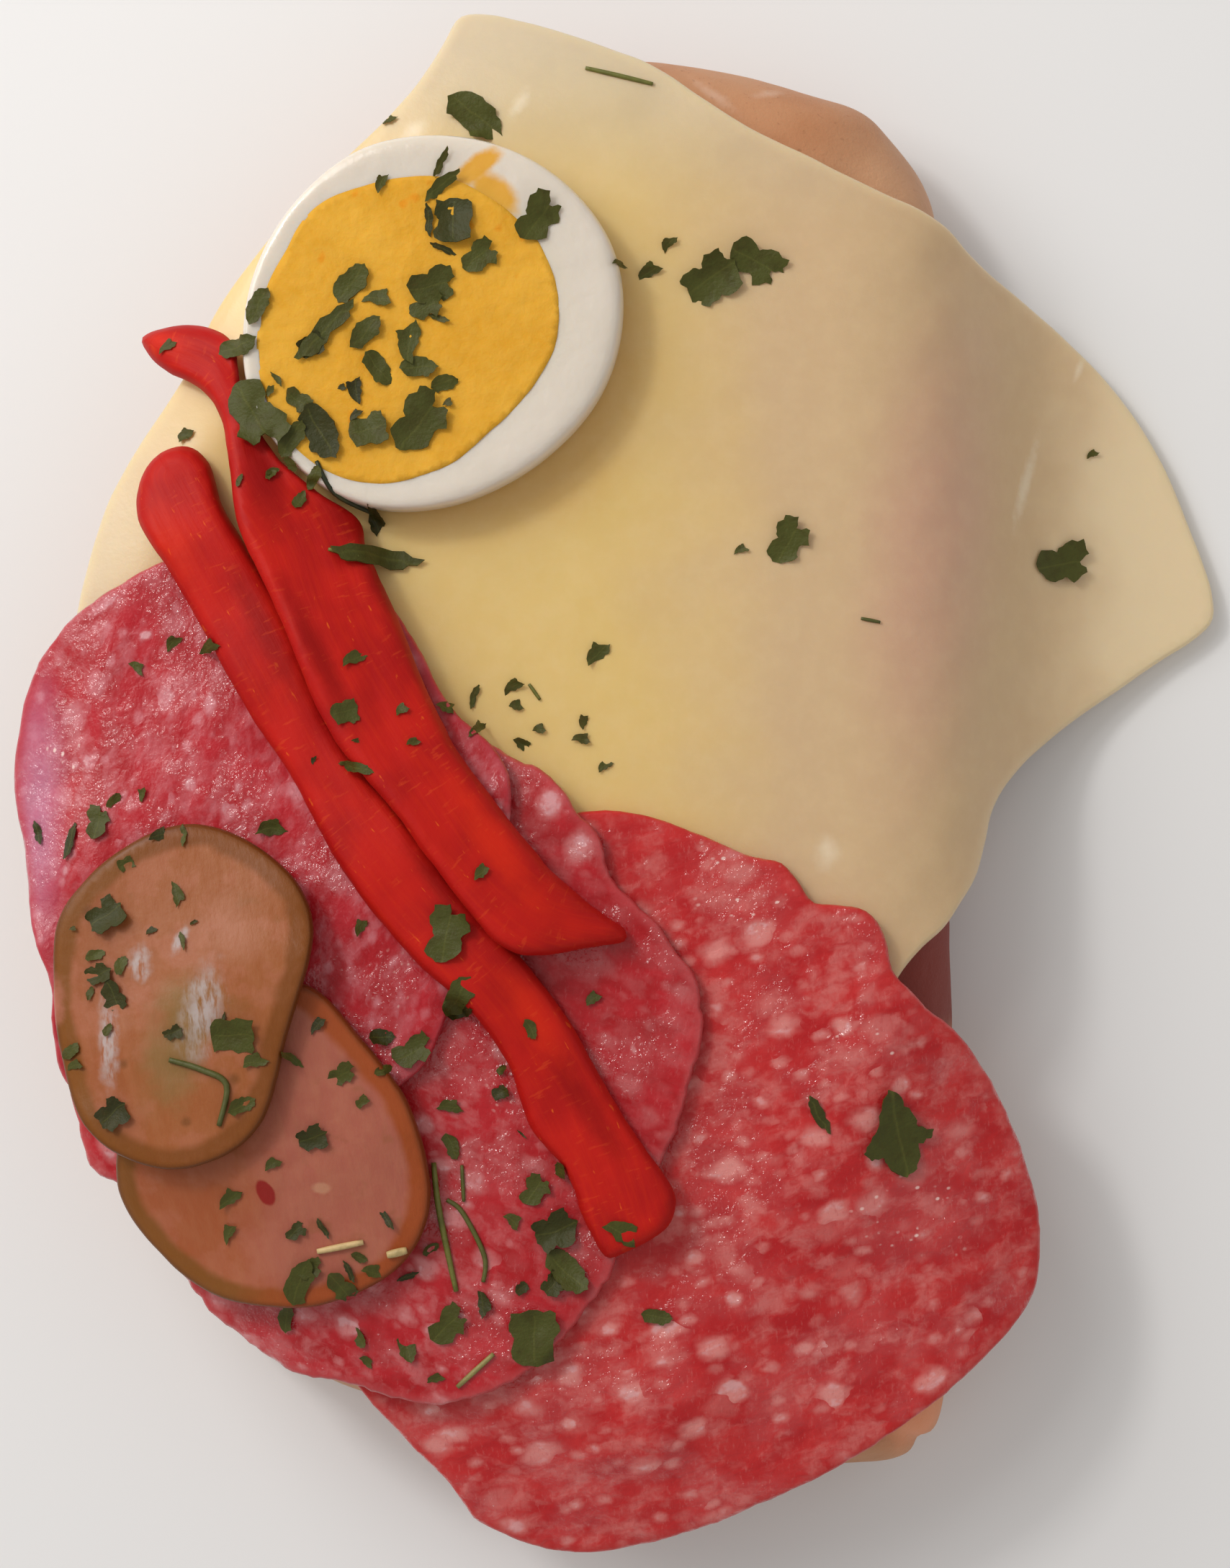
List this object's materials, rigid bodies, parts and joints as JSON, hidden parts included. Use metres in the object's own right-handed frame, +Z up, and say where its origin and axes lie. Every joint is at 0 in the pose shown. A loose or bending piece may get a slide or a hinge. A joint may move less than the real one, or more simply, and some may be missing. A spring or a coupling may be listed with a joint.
{
  "type": "open-faced sandwich",
  "caption": "Open-faced sandwich: half a long bread roll under cheese, salami, boiled egg, red pepper and gherkin slices with chopped parsley.",
  "frame": {"origin": "middle of the roll's flat underside", "axes": "+Z up, +Y along the roll towards the end with the egg, +X towards the side where the cheese hangs down"},
  "size_m": [0.1334, 0.1684, 0.0358],
  "materials": {
    "bread": "smooth baked crust, matt",
    "cheese": "satin, pale yellow",
    "salami": "moist, marbled with fat",
    "egg_white": "glossy, firm",
    "egg_yolk": "matt, fine crumb",
    "pepper": "moist, satin",
    "gherkin": "wet, slightly see-through"
  },
  "bodies": {
    "root": {"bread_roll": "bread", "cheese": "cheese", "salami_lowest": "salami", "salami_middle": "salami", "salami_highest": "salami", "egg_white": "egg_white", "egg_yolk": "egg_yolk", "pepper_long": "pepper", "pepper_hooked": "pepper", "gherkin_lower": "gherkin", "gherkin_upper": "gherkin"}
  },
  "joints": []
}
